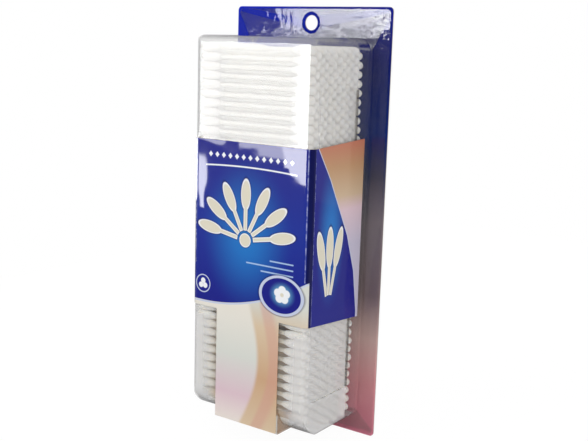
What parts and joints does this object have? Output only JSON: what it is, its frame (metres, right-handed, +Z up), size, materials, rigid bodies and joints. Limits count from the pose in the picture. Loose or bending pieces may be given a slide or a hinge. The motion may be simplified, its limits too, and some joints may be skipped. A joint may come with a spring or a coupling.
{
  "type": "cotton swab tub",
  "caption": "Hanging retail pack of cotton swabs: a clear formed tub filled with staggered layers of paper-stick swabs, on a printed card, with a label folded round it.",
  "frame": {"origin": "middle of the hang hole, on the back face of the card", "axes": "+X to the right seen from the front, +Y out of the card's back to the wall it hangs on, +Z up"},
  "size_m": [0.106, 0.0544, 0.2445],
  "materials": {
    "card": "gloss",
    "clear_plastic": "gloss",
    "label": "gloss",
    "paper_stick": "matte",
    "cotton": "matte"
  },
  "bodies": {
    "root": {"backing_card": "card", "clear_tub": "clear_plastic", "front_label": "label", "stick_layer_01": "paper_stick", "stick_layer_02": "paper_stick", "stick_layer_03": "paper_stick", "stick_layer_04": "paper_stick", "stick_layer_05": "paper_stick", "stick_layer_06": "paper_stick", "stick_layer_07": "paper_stick", "stick_layer_08": "paper_stick", "stick_layer_09": "paper_stick", "stick_layer_10": "paper_stick", "stick_layer_11": "paper_stick", "stick_layer_12": "paper_stick", "bud_layer_01": "cotton", "bud_layer_02": "cotton", "bud_layer_03": "cotton", "bud_layer_04": "cotton", "bud_layer_05": "cotton", "bud_layer_06": "cotton", "bud_layer_07": "cotton", "bud_layer_08": "cotton", "bud_layer_09": "cotton", "bud_layer_10": "cotton", "bud_layer_11": "cotton", "bud_layer_12": "cotton"}
  },
  "joints": []
}
